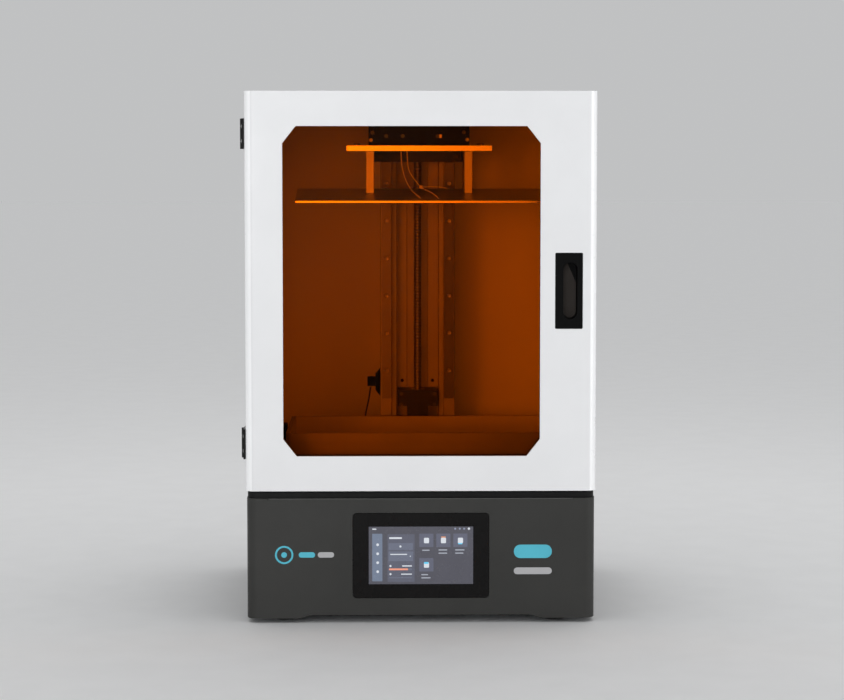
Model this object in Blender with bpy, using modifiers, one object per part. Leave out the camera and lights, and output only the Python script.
"""A large enclosed resin printer, built from the separate pieces that it comes apart into.

Metres, +Z up. The door faces -Y. The origin is the centre of the footprint, on the ground.
Pieces are laid out about the cabinet's mid-plane, and one empty shifts them all sideways,
because the hinges make the left side stand out further than the right.
"""
import math

import bmesh
import bpy
from mathutils import Matrix, Vector

# ---- Driving dimensions ------------------------------------------------------------------
GAP = 0.0003                # left between neighbouring pieces
SHEET = 0.003               # wall thickness of the shells
HINGE_REACH = 0.007         # how far the hinges stand out of the left side
MID_X = HINGE_REACH / 2     # the cabinet's mid-plane
HALF_WIDTH = 0.258          # door and cabinet
FRONT, REAR = -0.235, 0.235
HEIGHT = 0.782
CORNER = 0.014              # radius of the upright edges

BASE_HALF = 0.2565
BASE_FRONT = -0.234
BASE_LOW, BASE_HIGH = 0.0065, 0.1852
BASE_CORNER = 0.016
FLOOR_LOW, FLOOR_HIGH = 0.012, 0.014

DECK_LOW, DECK_HIGH = BASE_HIGH + GAP, 0.1933
CABINET_LOW = DECK_HIGH + GAP
CABINET_HIGH = HEIGHT - SHEET - GAP
CABINET_FRONT, CABINET_REAR = -0.2005, 0.2335

DOOR_LOW, DOOR_HIGH = 0.196, HEIGHT
DOOR_BACK = -0.2035
WINDOW_X = (-0.2019, 0.1746)
WINDOW_Z = (0.2477, 0.7310)
WINDOW_CHAMFER = (0.0195, 0.0249)
HANDLE_X, HANDLE_Z = 0.2166, 0.4907
HANDLE_HALF = (0.0200, 0.0555)
SLOT_X = 0.2186             # centre of the finger slot
SLOT_SIZE = (0.0205, 0.0826)

PIN_X = -HALF_WIDTH - GAP - 0.0033
PIN_Y = (DOOR_BACK + CABINET_FRONT) / 2
HINGE_LENGTH = 0.0445
HINGE_HEIGHTS = {"top": 0.7200, "bottom": 0.2645}

TANK_Y = -0.0225            # centre of the vat, the light and the platform
FRAME_HIGH = 0.2149         # top of the mounting frame and of the mask screen
VAT_LOW, VAT_RIM_LOW, VAT_HIGH = 0.2160, 0.2556, 0.2700
VAT_HALF = (0.2025, 0.1155)
VAT_CORNER = 0.009
VAT_WALL = 0.006
KNOB_X = 0.2130             # the two thumbscrews that hold the vat
KNOB_HEAD, KNOB_COLLAR = 0.0100, 0.0055
VAT_EAR_LOW, VAT_EAR_HIGH = 0.2360, 0.2442

PLATFORM_HALF = (0.188, 0.1025)
PLATFORM_LOW, PLATFORM_EDGE, PLATFORM_RIDGE = 0.6165, 0.6208, 0.6370
SCREW_Y = 0.118
COLUMN_HALF, COLUMN_FRONT, COLUMN_REAR = 0.060, 0.110, 0.200
COLUMN_HIGH = 0.775
RAIL_X, RAIL_HALF = 0.050, 0.0075
RAIL_FRONT = 0.095
CARRIAGE_FRONT, CARRIAGE_BACK = 0.071, 0.083

BEZEL_X, BEZEL_Z = (-0.10015, 0.10015), (0.03725, 0.16295)
BEZEL_CORNER = 0.0055
DISPLAY_X, DISPLAY_Z = (-0.07725, 0.07725), (0.0575, 0.1435)

INLET_X, INLET_Z = (-0.2150, -0.1600), (0.1050, 0.1370)
PORTS = [((0.0750, 0.0890), (0.0215, 0.0290)), ((0.1050, 0.1210), (0.0215, 0.0355))]
CABLE_HOLE = (-0.0860, 0.1200)
FAN_CENTRE = (0.0, 0.2222, 0.100)
FAN_SWEEP = 0.0382          # radius of the fan's air path
ROCKER_AXIS = (-0.1725, 0.226, 0.121)
ROCKER_TILT = 6             # degrees either side of level

# ---- Colours: red, green, blue, roughness, metallic --------------------------------------
FINISHES = {
    "white_paint": (0.77, 0.78, 0.80, 0.35, 0.0),
    "grey_paint": (0.047, 0.047, 0.044, 0.45, 0.0),
    "black_plastic": (0.012, 0.012, 0.012, 0.40, 0.0),
    "black_metal": (0.018, 0.018, 0.018, 0.35, 0.6),
    "rubber": (0.012, 0.012, 0.012, 0.85, 0.0),
    "bare_aluminium": (0.72, 0.73, 0.75, 0.35, 1.0),
    "steel": (0.55, 0.56, 0.58, 0.25, 1.0),
    "amber_acrylic": (0.55, 0.13, 0.01, 0.08, 0.0),
    "clear_film": (0.85, 0.85, 0.80, 0.10, 0.0),
    "screen_glass": (0.10, 0.10, 0.13, 0.12, 0.0),
    "galvanised": (0.60, 0.61, 0.62, 0.40, 0.9),
    "circuit_green": (0.01, 0.12, 0.04, 0.45, 0.0),
}


# ---- Scene helpers -----------------------------------------------------------------------
def clear_scene():
    for old in list(bpy.data.objects):
        bpy.data.objects.remove(old, do_unlink=True)


def new_collection(name):
    group = bpy.data.collections.new(name)
    bpy.context.scene.collection.children.link(group)
    return group


def new_empty(name, place):
    """An axis that pieces hang on, placed about the mid-plane like everything else."""
    empty = bpy.data.objects.new(name, None)
    empty.location = place
    PRINTER.objects.link(empty)
    return empty


def finish(name):
    material = bpy.data.materials.get(name)
    if material is None:
        material = bpy.data.materials.new(name)
        material.use_nodes = True
        red, green, blue, roughness, metallic = FINISHES[name.split(".")[0]]
        shader = material.node_tree.nodes["Principled BSDF"]
        shader.inputs["Base Color"].default_value = (red, green, blue, 1)
        shader.inputs["Roughness"].default_value = roughness
        shader.inputs["Metallic"].default_value = metallic
    return material


def place(name, mesh, look, matrix):
    """Makes a mesh an object: a printer piece with a look, or a cutter without one."""
    item = bpy.data.objects.new(name, mesh)
    item.matrix_local = matrix
    item.parent = MID_PLANE
    if look is None:
        CUTTERS.objects.link(item)
        item.hide_render = True
        item.display_type = "WIRE"
    else:
        PRINTER.objects.link(item)
        mesh.materials.clear()
        mesh.materials.append(finish(look + "." + name))
    return item


def cut(target, cutter):
    change = target.modifiers.new("cut " + cutter.name, "BOOLEAN")
    change.operation = "DIFFERENCE"
    change.object = cutter


def join(target, addition):
    change = target.modifiers.new("join " + addition.name, "BOOLEAN")
    change.operation = "UNION"
    change.object = addition


def hang(pieces, pivot):
    """Parents pieces to the empty on their joint's axis, and leaves them where they are."""
    for item in pieces:
        item.parent = pivot
        item.matrix_parent_inverse = Matrix.Translation(-Vector(pivot.location))


# ---- Shape helpers -----------------------------------------------------------------------
def box(name, x, y, z, look=None):
    """A box between three (low, high) pairs."""
    bm = bmesh.new()
    bmesh.ops.create_cube(bm, size=1)
    bmesh.ops.scale(bm, vec=(x[1] - x[0], y[1] - y[0], z[1] - z[0]), verts=bm.verts)
    mesh = bpy.data.meshes.new(name)
    bm.to_mesh(mesh)
    bm.free()
    centre = ((x[0] + x[1]) / 2, (y[0] + y[1]) / 2, (z[0] + z[1]) / 2)
    return place(name, mesh, look, Matrix.Translation(centre))


def around(centre, half):
    return (centre - half, centre + half)


TURNS = {
    "X": Matrix.Rotation(math.radians(90), 4, "Y"),
    "Y": Matrix.Rotation(math.radians(-90), 4, "X"),
    "Z": Matrix.Identity(4),
}


def rod(name, centre, radius, length, axis="Z", look=None, sides=24):
    """A cylinder about its centre, along X, Y or Z."""
    bm = bmesh.new()
    bmesh.ops.create_cone(bm, cap_ends=True, segments=sides, radius1=radius, radius2=radius,
                          depth=length)
    mesh = bpy.data.meshes.new(name)
    bm.to_mesh(mesh)
    bm.free()
    mesh.shade_smooth()
    mesh.set_sharp_from_angle(angle=math.radians(40))
    return place(name, mesh, look, Matrix.Translation(centre) @ TURNS[axis])


def turned(name, centre, profile, look, closed=False, sides=24):
    """A turned shape: (radius, height) points that run down the outer side."""
    mesh = bpy.data.meshes.new(name)
    count = len(profile)
    edges = [(i, i + 1) for i in range(count - 1)]
    if closed:
        edges.append((count - 1, 0))
    mesh.from_pydata([(radius, 0, height) for radius, height in profile], edges, [])
    item = place(name, mesh, look, Matrix.Translation(centre))
    screw = item.modifiers.new("turn", "SCREW")
    screw.steps = screw.render_steps = sides
    screw.use_merge_vertices = True
    screw.merge_threshold = 0.00001
    return item


def corner_arc(centre, radius, start, steps=5):
    """A quarter circle of points, anticlockwise from an angle in degrees."""
    angles = [math.radians(start + 90 * i / steps) for i in range(steps + 1)]
    return [(centre[0] + radius * math.cos(a), centre[1] + radius * math.sin(a)) for a in angles]


def rounded(x, y, radius=0.0, rear=None):
    """A rectangle's outline. The low-y corners take radius, the high-y ones take rear."""
    rear = radius if rear is None else rear
    points = []
    for cx, cy, turn, r in ((x[1], y[1], 0, rear), (x[0], y[1], 90, rear),
                            (x[0], y[0], 180, radius), (x[1], y[0], 270, radius)):
        inward_x = -r if cx == x[1] else r
        inward_y = -r if cy == y[1] else r
        if r > 0:
            points += corner_arc((cx + inward_x, cy + inward_y), r, turn)
        else:
            points.append((cx, cy))
    return points


def chamfered(x, y, chamfer):
    """A rectangle's outline with its corners cut off."""
    cx, cy = chamfer
    return [(x[0] + cx, y[0]), (x[1] - cx, y[0]), (x[1], y[0] + cy), (x[1], y[1] - cy),
            (x[1] - cx, y[1]), (x[0] + cx, y[1]), (x[0], y[1] - cy), (x[0], y[0] + cy)]


def circle(centre, radius, sides=24):
    angles = [2 * math.pi * i / sides for i in range(sides)]
    return [(centre[0] + radius * math.cos(a), centre[1] + radius * math.sin(a)) for a in angles]


def grown(span, extra):
    return (span[0] - extra, span[1] + extra)


PLANES = {
    "XY": Matrix.Identity(4),
    "XZ": Matrix.Rotation(math.radians(90), 4, "X"),
    "YZ": Matrix(((0, 0, 1, 0), (1, 0, 0, 0), (0, 1, 0, 0), (0, 0, 0, 1))),
}
THROUGH = {"XY": Vector((0, 0, 1)), "XZ": Vector((0, 1, 0)), "YZ": Vector((1, 0, 0))}


def plate(name, plane, loops, span, look=None):
    """A flat outline with a thickness: the outer loop, then its holes."""
    curve = bpy.data.curves.new(name, "CURVE")
    curve.dimensions = "2D"
    curve.fill_mode = "BOTH"
    curve.extrude = (span[1] - span[0]) / 2
    for loop in loops:
        spline = curve.splines.new("POLY")
        spline.points.add(len(loop) - 1)
        for point, (u, v) in zip(spline.points, loop):
            point.co = (u, v, 0, 1)
        spline.use_cyclic_u = True
    matrix = Matrix.Translation(THROUGH[plane] * (span[0] + span[1]) / 2) @ PLANES[plane]
    return curve_to_piece(name, curve, matrix, look)


def curve_to_piece(name, curve, matrix, look):
    """Makes a curve a closed mesh with its caps welded on."""
    guide = bpy.data.objects.new(name + " guide", curve)
    CUTTERS.objects.link(guide)
    evaluated = guide.evaluated_get(bpy.context.evaluated_depsgraph_get())
    mesh = bpy.data.meshes.new_from_object(evaluated)
    mesh.name = name
    bpy.data.objects.remove(guide)
    bm = bmesh.new()
    bm.from_mesh(mesh)
    bmesh.ops.remove_doubles(bm, verts=bm.verts, dist=0.000005)
    bmesh.ops.recalc_face_normals(bm, faces=bm.faces)
    bm.to_mesh(mesh)
    bm.free()
    return place(name, mesh, look, matrix)


def lead(name, route, radius, look):
    """A thin wire on a smooth curve through a few points."""
    curve = bpy.data.curves.new(name, "CURVE")
    curve.dimensions = "3D"
    curve.bevel_depth = radius
    curve.bevel_resolution = 1
    curve.use_fill_caps = True
    spline = curve.splines.new("POLY")
    points = smooth_route(route)
    spline.points.add(len(points) - 1)
    for point, co in zip(spline.points, points):
        point.co = (*co, 1)
    return curve_to_piece(name, curve, Matrix.Identity(4), look)


def smooth_route(route, steps=5):
    """Catmull-Rom points through a route."""
    knots = [Vector(p) for p in route]
    knots = [2 * knots[0] - knots[1]] + knots + [2 * knots[-1] - knots[-2]]
    points = []
    for a, b, c, d in zip(knots, knots[1:], knots[2:], knots[3:]):
        for i in range(steps):
            t = i / steps
            points.append(0.5 * (2 * b + (c - a) * t + (2 * a - 5 * b + 4 * c - d) * t ** 2
                                 + (3 * b - a - 3 * c + d) * t ** 3))
    points.append(knots[-2])
    return points


# ---- Base --------------------------------------------------------------------------------
def build_base_housing():
    wall_x = around(0, BASE_HALF)
    wall_y = (BASE_FRONT, REAR)
    housing = plate("base_housing", "XY", [rounded(wall_x, wall_y, BASE_CORNER)],
                    (BASE_LOW, BASE_HIGH), "grey_paint")
    inner = rounded(grown(wall_x, -SHEET), grown(wall_y, -SHEET), BASE_CORNER - SHEET)
    cut(housing, plate("base_hollow", "XY", [inner], (0, BASE_HIGH - SHEET)))
    rim = 0.020
    opening = rounded(grown(wall_x, -rim), grown(wall_y, -rim), 0.006)
    cut(housing, plate("base_top_opening", "XY", [opening], around(BASE_HIGH, 2 * SHEET)))

    relief_high, relief_low, relief_depth = 0.1617, 0.1790, 0.0051
    relief = [(-relief_low, 0), (relief_low, 0), (relief_low, BASE_LOW),
              (relief_high, BASE_LOW + relief_depth), (-relief_high, BASE_LOW + relief_depth),
              (-relief_low, BASE_LOW)]
    cut(housing, plate("base_front_relief", "XZ", [relief], (BASE_FRONT - 0.01, BASE_FRONT + 0.01)))
    notch_x, notch_half = 0.2250, 0.0010
    for side in (-1, 1):
        cut(housing, box("base_notch", around(side * notch_x, notch_half),
                         around(BASE_FRONT, 0.0012), (BASE_HIGH - 0.0020, BASE_HIGH + 0.002)))

    bezel = rounded(grown(BEZEL_X, GAP), grown(BEZEL_Z, GAP), BEZEL_CORNER + GAP)
    cut(housing, plate("bezel_opening", "XZ", [bezel], around(BASE_FRONT, 0.01)))
    back = around(REAR, 0.01)
    cut(housing, box("inlet_opening", grown(INLET_X, GAP), back, grown(INLET_Z, GAP)))
    for port_x, port_z in PORTS:
        cut(housing, box("port_opening", grown(port_x, 0.0006), back, grown(port_z, 0.0006)))
    slot_count, slot_pitch, slot_half = 9, 0.0080, 0.0022
    for i in range(slot_count):
        height = FAN_CENTRE[2] + (i - (slot_count - 1) / 2) * slot_pitch
        reach = math.sqrt(FAN_SWEEP ** 2 - (height - FAN_CENTRE[2]) ** 2)
        cut(housing, box("fan_slot", around(0, reach), back, around(height, slot_half)))
    side_count, side_pitch = 10, 0.0110
    for i in range(side_count):
        y = (i - (side_count - 1) / 2) * side_pitch
        cut(housing, box("side_slot", around(0, BASE_HALF + 0.01), around(y, 0.0020), (0.050, 0.090)))
    return housing


def build_base_floor():
    """The galvanised bottom plate with its two rows of air slots, and the four feet."""
    floor_x = grown(around(0, BASE_HALF), -SHEET - GAP)
    floor_y = grown((BASE_FRONT, REAR), -SHEET - GAP)
    loops = [rounded(floor_x, floor_y, BASE_CORNER - SHEET)]
    for row in range(2):
        for i in range(8):
            x = 0.060 + 0.016 * i
            loops.append(rounded(around(x, 0.003), around(-0.120 + 0.09 * row, 0.03)))
    plate("base_plate", "XY", loops, (FLOOR_LOW, FLOOR_HIGH), "galvanised")

    foot_top = FLOOR_LOW - GAP
    for end, y in (("front", -0.190), ("rear", 0.190)):
        for side, x in (("left", -0.2000), ("right", 0.2000)):
            turned("foot_%s_%s" % (end, side), (x, y, 0),
                   [(0, foot_top), (0.022, foot_top), (0.020, 0.0010), (0.019, 0), (0, 0)], "rubber")


def build_screen():
    bezel = rounded(BEZEL_X, BEZEL_Z, BEZEL_CORNER)
    window = rounded(grown(DISPLAY_X, GAP), grown(DISPLAY_Z, GAP))
    plate("touch_bezel", "XZ", [bezel, window], (FRONT, FRONT + 0.0065), "black_plastic")
    box("touch_display", DISPLAY_X, (FRONT + 0.0004, FRONT + 0.0094), DISPLAY_Z, "screen_glass")


def build_deck():
    """The plate that the cabinet stands on. Its front edge is set back under the door."""
    side_step, front_step = 0.0010, 0.0050
    outline = rounded(around(0, BASE_HALF - side_step), (BASE_FRONT + front_step, REAR - side_step), CORNER)
    light = rounded(around(0, 0.1785), around(TANK_Y, 0.1035))
    shaft = circle((0, SCREW_Y), 0.0200)
    cable = circle(CABLE_HOLE, 0.0050, 12)
    plate("deck_plate", "XY", [outline, light, shaft, cable], (DECK_LOW, DECK_HIGH), "black_metal")


# ---- Light source, mask screen and vat ---------------------------------------------------
def build_light():
    mask_x, mask_y = around(0, 0.1760), around(TANK_Y, 0.1010)
    box("lcd_panel", mask_x, mask_y, (FRAME_HIGH - 0.0030, FRAME_HIGH), "screen_glass")
    light_x, light_y = around(0, 0.1755), around(TANK_Y, 0.1005)
    light_top, light_bottom = FRAME_HIGH - 0.0033, 0.0753
    inside = rounded(grown(light_x, -0.002), grown(light_y, -0.002))
    plate("uv_light_box", "XY", [rounded(light_x, light_y), inside], (light_bottom, light_top),
          "bare_aluminium")
    board_z = (light_bottom - GAP - 0.0020, light_bottom - GAP)
    box("uv_led_board", light_x, light_y, board_z, "circuit_green")
    sink_top = board_z[0] - GAP
    fin_low, fin_high = sink_top - 0.034, sink_top - 0.006
    fin_count, fin_half = 18, 0.0012
    pitch = (light_x[1] - light_x[0] - 2 * fin_half) / (fin_count - 1)
    outline = [(light_x[0], sink_top)]
    for i in range(fin_count):
        middle = light_x[0] + fin_half + pitch * i
        left, right = middle - fin_half, middle + fin_half
        outline += [(left, fin_high)] if i else []
        outline += [(left, fin_low), (right, fin_low)]
        outline += [(right, fin_high)] if i < fin_count - 1 else []
    outline.append((light_x[1], sink_top))
    plate("uv_heatsink", "XZ", [outline], light_y, "bare_aluminium")


def build_mounting_frame():
    half_x, half_y = VAT_HALF
    ear_x, ear_half = 0.2262, 0.0200
    low_y, high_y = around(TANK_Y, half_y)
    outline = [(half_x, low_y), (half_x, TANK_Y - ear_half), (ear_x, TANK_Y - ear_half),
               (ear_x, TANK_Y + ear_half), (half_x, TANK_Y + ear_half), (half_x, high_y)]
    outline += [(-x, y) for x, y in reversed(outline)]
    opening = rounded(around(0, 0.1763), around(TANK_Y, 0.1013))
    frame = plate("lcd_mount_frame", "XY", [outline, opening], (CABINET_LOW, FRAME_HIGH), "black_metal")
    for side in (-1, 1):
        boss = box("frame_boss", around(side * 0.2150, 0.0105), around(TANK_Y, 0.015),
                   (FRAME_HIGH - 0.010, VAT_EAR_LOW - GAP))
        join(frame, boss)
        cut(frame, rod("boss_hole", (side * KNOB_X, TANK_Y, 0.2300), 0.0036, 0.0240))
    return frame


def build_vat():
    outer_x, outer_y = around(0, VAT_HALF[0]), around(TANK_Y, VAT_HALF[1])
    outer = rounded(outer_x, outer_y, VAT_CORNER)
    inner = rounded(grown(outer_x, -VAT_WALL), grown(outer_y, -VAT_WALL), VAT_CORNER - VAT_WALL)
    vat = plate("vat", "XY", [outer, inner], (VAT_LOW, VAT_HIGH), "bare_aluminium")
    rim_step = 0.0025
    waist = rounded(grown(outer_x, -rim_step), grown(outer_y, -rim_step), VAT_CORNER - rim_step)
    beyond = rounded(grown(outer_x, 0.01), grown(outer_y, 0.01))
    cut(vat, plate("vat_waist", "XY", [beyond, waist], (VAT_LOW - 0.01, VAT_RIM_LOW)))
    ear_x = (VAT_HALF[0] - VAT_WALL / 2 - rim_step, 0.2262)
    for side in (-1, 1):
        reach = ear_x if side > 0 else (-ear_x[1], -ear_x[0])
        join(vat, box("vat_ear", reach, around(TANK_Y, 0.015), (VAT_EAR_LOW, VAT_EAR_HIGH)))
        cut(vat, rod("ear_hole", (side * KNOB_X, TANK_Y, VAT_EAR_HIGH - 0.004), 0.0036, 0.030))
    film = rounded(grown(outer_x, -0.001), grown(outer_y, -0.001), VAT_CORNER - 0.001)
    plate("vat_film", "XY", [film], (FRAME_HIGH + GAP, VAT_LOW - GAP), "clear_film")

    head_low, grip_low, head_high = VAT_EAR_HIGH + GAP, 0.2612, 0.2730
    for side, name in ((-1, "left"), (1, "right")):
        knob = turned("vat_knob_" + name, (side * KNOB_X, TANK_Y, 0),
                      [(0, head_high), (KNOB_HEAD - 0.001, head_high), (KNOB_HEAD, head_high - 0.0012),
                       (KNOB_HEAD, grip_low), (KNOB_COLLAR, grip_low - 0.001), (KNOB_COLLAR, head_low),
                       (0.0030, head_low), (0.0030, 0.2190), (0, 0.2190)], "black_plastic")
        hang([knob], new_pivot("axis_vat_knob_" + name, (side * KNOB_X, TANK_Y, VAT_EAR_HIGH)))


# ---- Electronics -------------------------------------------------------------------------
def build_electronics():
    supply = box("power_supply", (-0.2475, -0.0445), (0.1050, 0.2150), (FLOOR_HIGH + GAP, 0.0643),
                 "galvanised")
    cut(supply, box("terminal_step", (-0.0600, -0.0400), (0.1000, 0.2200), (0.0400, 0.0700)))

    board = box("main_board", (0.0600, 0.2150), (0.1150, 0.2310), (0.0203, 0.0221), "circuit_green")
    for x in (0.066, 0.209):
        for y in (0.121, 0.222):
            join(board, rod("board_post", (x, y, 0.0178), 0.0030, 0.0070, sides=12))
    for (x, z) in PORTS:
        join(board, box("port", x, (0.2120, REAR - 0.0006), z))
    join(board, box("board_cooler", (0.140, 0.170), (0.150, 0.180), (0.0215, 0.0340)))
    join(board, box("board_terminals", (0.070, 0.120), (0.118, 0.130), (0.0215, 0.0320)))

    depth = (0.2060, REAR - 0.0008)
    inlet = box("power_inlet", INLET_X, depth, INLET_Z, "black_plastic")
    cut(inlet, box("plug_pocket", (-0.2115, -0.1855), (0.2170, 0.2500), (0.1125, 0.1295)))
    cut(inlet, box("rocker_pocket", around(ROCKER_AXIS[0], 0.0070), (0.2165, 0.2500),
                   around(ROCKER_AXIS[2], 0.0106)))
    for x, z in ((-0.2060, 0.1185), (-0.1985, 0.1235), (-0.1910, 0.1185)):
        join(inlet, box("inlet_pin", around(x, 0.0010), (0.2150, 0.2320), around(z, 0.0020)))

    face = [(-0.0093, -0.0060), (-0.0093, 0.0060), (0, 0.0045), (0.0093, 0.0060), (0.0093, -0.0060)]
    outline = [(depth_out, height) for height, depth_out in reversed(face)]
    rocker = plate("power_rocker", "YZ", [outline], around(0, 0.0066), "black_plastic")
    rocker.matrix_local = (Matrix.Translation(ROCKER_AXIS)
                           @ Matrix.Rotation(math.radians(-ROCKER_TILT), 4, "X") @ PLANES["YZ"])
    hang([rocker], new_pivot("axis_power_rocker", ROCKER_AXIS))


def build_fan():
    x, _, z = FAN_CENTRE
    side = 0.040
    outline = rounded(around(x, side), around(z, side), 0.005)
    ring = plate("fan_frame", "XZ", [outline, circle((x, z), FAN_SWEEP, 32)], (0.2117, 0.2317),
                 "black_plastic")
    join(ring, rod("fan_hub_seat", (x, 0.2127, z), 0.016, 0.0018, "Y"))
    for turn in range(3):
        strut = box("fan_strut", around(0, 0.0385), around(0, 0.0008), around(0, 0.0020))
        strut.matrix_local = (Matrix.Translation((x, 0.2127, z))
                              @ Matrix.Rotation(math.radians(60 * turn + 15), 4, "Y"))
        join(ring, strut)

    rotor = rod("fan_rotor", FAN_CENTRE, 0.0160, 0.0150, "Y", "black_plastic")
    blade_count, blade_middle, blade_pitch = 7, 0.0252, 35
    for i in range(blade_count):
        blade = box("fan_blade", around(0, 0.0070), around(0, 0.0006), around(0, 0.0110))
        blade.matrix_local = (Matrix.Translation(FAN_CENTRE)
                              @ Matrix.Rotation(2 * math.pi * i / blade_count, 4, "Y")
                              @ Matrix.Translation((0, 0, blade_middle))
                              @ Matrix.Rotation(math.radians(blade_pitch), 4, "Z"))
        join(rotor, blade)
    hang([rotor], new_pivot("axis_fan", FAN_CENTRE))


# ---- Cabinet -----------------------------------------------------------------------------
def build_cabinet():
    outer = rounded(around(0, HALF_WIDTH), (CABINET_FRONT, CABINET_REAR), 0, CORNER)
    inner_half = HALF_WIDTH - SHEET
    shell = plate("cabinet_shell", "XY", [outer], (CABINET_LOW, CABINET_HIGH), "white_paint")
    hollow = rounded(around(0, inner_half), (CABINET_FRONT - 0.01, CABINET_REAR - SHEET), 0, CORNER - SHEET)
    cut(shell, plate("cabinet_hollow", "XY", [hollow], (CABINET_LOW - 0.01, HEIGHT + 0.01)))
    service_x, service_z = around(0, 0.0500), (0.2600, 0.7000)
    cut(shell, box("service_opening", service_x, around(CABINET_REAR, 0.01), service_z))
    plate("top_panel", "XY", [outer], (HEIGHT - SHEET, HEIGHT), "white_paint")

    loops = [rounded(grown(service_x, 0.015), grown(service_z, 0.015), 0.006)]
    for row_z in (0.330, 0.630):
        for i in range(7):
            x = (i - 3) * 0.0130
            loops.append(rounded(around(x, 0.0022), around(row_z, 0.0300)))
    plate("rear_panel", "XZ", loops, (CABINET_REAR + GAP, REAR), "white_paint")

    frame_x = around(0, inner_half - GAP)
    frame_z = (CABINET_LOW + GAP, CABINET_HIGH - GAP)
    ring = 0.020
    plate("front_frame", "XZ",
          [rounded(frame_x, frame_z), rounded(grown(frame_x, -ring), grown(frame_z, -ring), 0.006)],
          (CABINET_FRONT, CABINET_FRONT + 0.006), "white_paint")
    catch_x = frame_x[1] - ring - GAP
    box("door_magnet", (catch_x - 0.015, catch_x), (CABINET_FRONT, CABINET_FRONT + 0.010),
        around(HANDLE_Z, 0.020), "black_plastic")


def mirrored(points):
    return points + [(-x, y) for x, y in reversed(points)]


# ---- Lift: column, rails, screw and motor ------------------------------------------------
def build_column():
    step, lip, floor, groove = 0.042, 0.034, 0.150, 0.017
    right = [(groove, floor + 0.004), (groove, floor), (lip, floor), (lip, COLUMN_FRONT + 0.006),
             (step, COLUMN_FRONT + 0.006), (step, COLUMN_FRONT), (COLUMN_HALF, COLUMN_FRONT),
             (COLUMN_HALF, COLUMN_REAR)]
    chambers = [rounded(around(side * 0.029, 0.023), (0.160, 0.192)) for side in (-1, 1)]
    plate("column_profile", "XY", [mirrored(right)] + chambers, (CABINET_LOW, COLUMN_HIGH),
          "bare_aluminium")

    rail_back = COLUMN_FRONT - GAP
    depth = rail_back - RAIL_FRONT
    waist = RAIL_HALF - 0.0016
    half = [(RAIL_HALF, RAIL_FRONT), (RAIL_HALF, RAIL_FRONT + 0.25 * depth),
            (waist, RAIL_FRONT + 0.40 * depth), (waist, RAIL_FRONT + 0.55 * depth),
            (RAIL_HALF, RAIL_FRONT + 0.70 * depth), (RAIL_HALF, rail_back)]
    for side, name in ((-1, "left"), (1, "right")):
        outline = [(side * RAIL_X + x, y) for x, y in mirrored(half)]
        plate("rail_" + name, "XY", [outline], (0.2980, 0.7735), "steel")


def build_lift_drive():
    journal_bore = 0.0053
    block_y = (0.0985, 0.1497)
    for name, half, span in (("lower", 0.0325, (0.2854, 0.3108)), ("upper", 0.0300, (0.7573, 0.7745))):
        block = box(name + "_bearing_block", around(0, half), block_y, span, "black_metal")
        if name == "lower":
            seat = box("bearing_seat", around(0, 0.0170), grown(block_y, -0.001), (0.2620, 0.3000))
            join(block, seat)
        cut(block, rod("bearing_bore", (0, SCREW_Y, sum(span) / 2), journal_bore, 0.12))

    screw = turned("ball_screw", (0, SCREW_Y, 0),
                   [(0, 0.7735), (0.0050, 0.7735), (0.0050, 0.7565), (0.0060, 0.7560), (0.0060, 0.3160),
                    (0.0050, 0.3155), (0.0050, 0.2135), (0, 0.2135)], "steel")
    coupler = turned("shaft_coupler", (0, SCREW_Y, 0),
                     [(0, 0.2130), (journal_bore, 0.2130), (journal_bore, 0.2320), (0.0125, 0.2320),
                      (0.0125, 0.1970), (0.0040, 0.1970), (0.0040, 0.1600), (0, 0.1600)], "bare_aluminium")
    hang([screw, coupler], new_pivot("axis_ball_screw", (0, SCREW_Y, 0)))

    motor_half, motor_low = 0.0282, 0.1090
    body = chamfered(around(0, motor_half), around(SCREW_Y, motor_half), (0.005, 0.005))
    motor = plate("z_motor", "XY", [body], (motor_low, DECK_LOW - GAP), "black_metal")
    cut(motor, rod("motor_bore", (0, SCREW_Y, 0.1750), 0.0043, 0.0400))

    wall = -COLUMN_HALF - GAP
    flag = [(wall, 0.3000), (wall, 0.3450), (wall - 0.0080, 0.3350), (wall - 0.0080, 0.3100)]
    sensor = plate("home_sensor", "XZ", [flag], (0.1120, 0.1300), "black_plastic")
    join(sensor, box("sensor_switch", (-0.0813, wall - 0.0070), (0.1140, 0.1280), (0.3160, 0.3310)))
    lead("sensor_cable", [(-0.0760, 0.1210, 0.3142), (-0.0790, 0.1210, 0.2950), (-0.0860, 0.1200, 0.2550),
                          (-0.0860, 0.1200, 0.1900), (-0.0800, 0.1350, 0.1600), (-0.0500, 0.1680, 0.1200),
                          (0.0000, 0.1800, 0.0850), (0.0500, 0.1600, 0.0560), (0.0800, 0.1300, 0.0480),
                          (0.0850, 0.1240, 0.0340)], 0.0014, "black_plastic")


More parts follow.
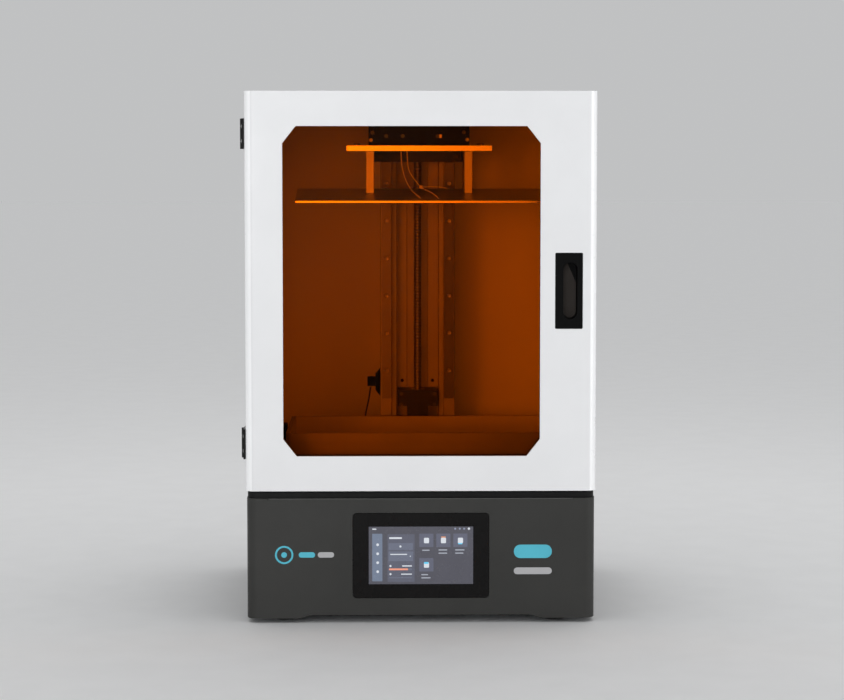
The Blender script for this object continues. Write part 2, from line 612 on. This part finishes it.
# ---- Carriage and build platform ---------------------------------------------------------
def build_carriage():
    pieces = []
    plate_z = (0.6780, 0.7660)
    carrier = box("carriage_plate", around(0, 0.0720), (CARRIAGE_FRONT, CARRIAGE_BACK), plate_z,
                  "black_metal")
    nut_seat = box("nut_seat", around(0, 0.0240), (CARRIAGE_BACK - 0.001, 0.1380), (0.7220, 0.7480))
    join(carrier, nut_seat)
    cut(carrier, rod("nut_bore", (0, SCREW_Y, 0.7350), 0.0133, 0.0400))
    pieces.append(carrier)

    pieces.append(turned("ball_nut", (0, SCREW_Y, 0),
                         [(0.0064, 0.7550), (0.0130, 0.7550), (0.0130, 0.7217), (0.0180, 0.7217),
                          (0.0180, 0.7150), (0.0064, 0.7150)], "steel", closed=True))

    back, groove = 0.1065, RAIL_HALF + GAP
    half = [(groove, RAIL_FRONT - GAP), (groove, back), (0.0170, back), (0.0170, CARRIAGE_BACK + GAP)]
    for side, name in ((-1, "left"), (1, "right")):
        outline = [(side * RAIL_X + x, y) for x, y in mirrored(half)]
        pieces.append(plate("rail_block_" + name, "XY", [outline], (0.7020, 0.7600), "steel"))

    knob_y, shaft_bore = 0.0100, 0.0043
    bar_z = (0.6950, 0.7034)
    arm = box("platform_arm", around(0, 0.0780), (-0.0300, CARRIAGE_FRONT - GAP),
              (bar_z[1] + GAP, 0.7500), "black_metal")
    cut(arm, rod("arm_bore", (0, knob_y, 0.7300), shaft_bore, 0.0800))
    bar = box("bracket_top", around(0, 0.1110), (-0.0750, 0.0450), bar_z, "bare_aluminium")
    cut(bar, rod("bar_bore", (0, knob_y, 0.7000), shaft_bore, 0.0400))
    pieces += [arm, bar]

    leg_front, leg_rear = -0.0650, 0.0350
    outline = [(leg_front, slope(leg_front) + GAP), (TANK_Y, slope(TANK_Y) + GAP),
               (leg_rear, slope(leg_rear) + GAP), (leg_rear, bar_z[0] - GAP), (leg_front, bar_z[0] - GAP)]
    for side, name in ((-1, "left"), (1, "right")):
        pieces.append(plate("bracket_leg_" + name, "YZ", [outline], around(side * 0.0752, 0.0058),
                            "bare_aluminium"))

    front, rear = around(TANK_Y, PLATFORM_HALF[1])
    section = [(front, PLATFORM_LOW), (rear, PLATFORM_LOW), (rear, PLATFORM_EDGE),
               (TANK_Y, PLATFORM_RIDGE), (front, PLATFORM_EDGE)]
    pieces.append(plate("build_platform", "YZ", [section], around(0, PLATFORM_HALF[0]),
                        "bare_aluminium"))

    under_bar = bar_z[0] - 2 * GAP
    end_a, end_b = -0.1120, -0.1150
    lead_radius, lead_lift = 0.0008, 0.0014
    route_a = [(-0.0277, -0.0400, under_bar), (-0.0262, -0.0500, 0.6711), (-0.0202, -0.0680, 0.6497),
               (-0.0111, -0.0850, 0.6346), (0.0007, end_a, slope(end_a) + lead_lift)]
    route_b = [(-0.0184, -0.0400, under_bar), (-0.0169, -0.0500, 0.6710), (-0.0115, -0.0600, 0.6575),
               (0.0030, -0.0700, 0.6400), (0.0180, -0.0980, 0.6320),
               (0.0285, end_b, slope(end_b) + lead_lift)]
    for name, route in (("platform_lead_a", route_a), ("platform_lead_b", route_b)):
        pieces.append(lead(name, route, lead_radius, "steel"))
    hang(pieces, new_pivot("axis_lift", (0, SCREW_Y, PLATFORM_LOW)))

    head_low, head_high = 0.7503, 0.7740
    knob = turned("platform_knob", (0, knob_y, 0),
                  [(0, head_high), (0.0190, head_high), (0.0205, head_high - 0.002),
                   (0.0205, head_low + 0.008), (0.0120, head_low + 0.006), (0.0120, head_low),
                   (0.0040, head_low), (0.0040, 0.6965), (0, 0.6965)],
                  "black_plastic")
    hang([knob], new_pivot("axis_platform_knob", (0, knob_y, head_low)))


def slope(y):
    """Height of the platform's pitched top."""
    return PLATFORM_RIDGE - (PLATFORM_RIDGE - PLATFORM_EDGE) * abs(y - TANK_Y) / PLATFORM_HALF[1]


# ---- Door --------------------------------------------------------------------------------
def build_door():
    door_x, door_z = around(0, HALF_WIDTH), (DOOR_LOW, DOOR_HIGH)
    outline = rounded(door_x, (FRONT, DOOR_BACK), CORNER, 0)
    frame = plate("door_frame", "XY", [outline], door_z, "white_paint")
    skin_back = FRONT + SHEET
    hollow = rounded(grown(door_x, -SHEET), (skin_back, DOOR_BACK + 0.01), CORNER - SHEET, 0)
    cut(frame, plate("door_hollow", "XY", [hollow], grown(door_z, -SHEET)))
    window = chamfered(WINDOW_X, WINDOW_Z, WINDOW_CHAMFER)
    cut(frame, plate("window_opening", "XZ", [window], around(FRONT, 0.01)))
    handle_x, handle_z = around(HANDLE_X, HANDLE_HALF[0]), around(HANDLE_Z, HANDLE_HALF[1])
    handle_hole = rounded(grown(handle_x, GAP), grown(handle_z, GAP), 0.002)
    cut(frame, plate("handle_opening", "XZ", [handle_hole], around(FRONT, 0.01)))

    pane = chamfered(grown(WINDOW_X, -GAP), grown(WINDOW_Z, -GAP), WINDOW_CHAMFER)
    pane_y = (FRONT + 0.0006, FRONT + 0.0036)
    window_pane = plate("door_window", "XZ", [pane], pane_y, "amber_acrylic")

    liner_x, liner_z = grown(door_x, -SHEET - GAP), grown(door_z, -SHEET - GAP)
    reveal_x, reveal_z = grown(WINDOW_X, 0.001), grown(WINDOW_Z, 0.001)
    reveal = chamfered(reveal_x, reveal_z, WINDOW_CHAMFER)
    reveal_out = chamfered(grown(reveal_x, 0.002), grown(reveal_z, 0.002), WINDOW_CHAMFER)
    liner = plate("door_liner", "XZ", [rounded(liner_x, liner_z), reveal],
                  (DOOR_BACK - SHEET, DOOR_BACK), "black_metal")
    tunnel = plate("door_tunnel", "XZ", [reveal_out, reveal], (pane_y[1] + GAP, DOOR_BACK - 0.001))
    join(liner, tunnel)

    seal_x, seal_z = grown(liner_x, -0.003), (DOOR_LOW + 0.007, CABINET_HIGH - 0.004)
    seal_inside = rounded(grown(seal_x, -0.010), grown(seal_z, -0.010), 0.004)
    seal = plate("door_seal", "XZ", [rounded(seal_x, seal_z, 0.008), seal_inside],
                 (DOOR_BACK + GAP, CABINET_FRONT - GAP), "rubber")

    handle = plate("door_handle", "XZ", [rounded(handle_x, handle_z, 0.002)],
                   (FRONT + 0.0004, skin_back), "black_plastic")
    join(handle, box("handle_cup", around(SLOT_X, 0.0150), (skin_back - 0.001, FRONT + 0.0200),
                     around(HANDLE_Z, 0.0470)))
    cut(handle, plate("handle_slot", "XZ", [slot_outline()], (FRONT - 0.01, FRONT + 0.0175)))
    pieces = [frame, window_pane, liner, seal, handle]
    pieces += [build_hinge(name, height) for name, height in HINGE_HEIGHTS.items()]
    hang(pieces, new_pivot("axis_door", (PIN_X, PIN_Y, (DOOR_LOW + DOOR_HIGH) / 2)))


def slot_outline():
    """The finger slot: straight sides with a half circle at each end."""
    radius = SLOT_SIZE[0] / 2
    straight = SLOT_SIZE[1] / 2 - radius
    top, low = (SLOT_X, HANDLE_Z + straight), (SLOT_X, HANDLE_Z - straight)
    return (corner_arc(top, radius, 0) + corner_arc(top, radius, 90)[1:]
            + corner_arc(low, radius, 180) + corner_arc(low, radius, 270)[1:])


def build_hinge(name, height):
    """The cabinet's leaf carries the pin, and the door's leaf, which is returned, turns on it."""
    leaf_x = (-HALF_WIDTH - GAP - 0.0030, -HALF_WIDTH - GAP)
    knuckle, pin, bore = HINGE_REACH - GAP - 0.0034, 0.00145, 0.00165
    half = HINGE_LENGTH / 2
    middle = half / 2
    leaf_start, web_reach, leaf_reach = 0.0042, 0.0060, 0.0220
    fixed = box("hinge_leaf_%s_fixed" % name, leaf_x, (PIN_Y + leaf_start, PIN_Y + leaf_reach),
                around(height, half), "black_metal")
    join(fixed, box("fixed_web", (PIN_X, leaf_x[1]), (PIN_Y, PIN_Y + web_reach),
                    around(height, middle - GAP)))
    join(fixed, rod("fixed_knuckle", (PIN_X, PIN_Y, height), knuckle, 2 * (middle - GAP)))
    join(fixed, rod("hinge_pin", (PIN_X, PIN_Y, height), pin, HINGE_LENGTH))

    moving = box("hinge_leaf_%s_door" % name, leaf_x, (PIN_Y - leaf_reach, PIN_Y - leaf_start),
                 around(height, half), "black_metal")
    end_length = half - middle - GAP / 2
    for side in (-1, 1):
        centre = height + side * (half - end_length / 2)
        join(moving, box("door_web", (PIN_X, leaf_x[1]), (PIN_Y - web_reach, PIN_Y),
                         around(centre, end_length / 2)))
        join(moving, rod("door_knuckle", (PIN_X, PIN_Y, centre), knuckle, end_length))
    cut(moving, rod("knuckle_bore", (PIN_X, PIN_Y, height), bore, HINGE_LENGTH + 0.01))
    return moving


def new_pivot(name, spot):
    pivot = new_empty(name, spot)
    pivot.parent = MID_PLANE
    return pivot


clear_scene()
PRINTER = new_collection("resin_printer")
CUTTERS = new_collection("cutters")
MID_PLANE = new_empty("mid_plane", (MID_X, 0, 0))
build_base_housing()
build_base_floor()
build_screen()
build_deck()
build_light()
build_mounting_frame()
build_vat()
build_electronics()
build_fan()
build_cabinet()
build_column()
build_lift_drive()
build_carriage()
build_door()
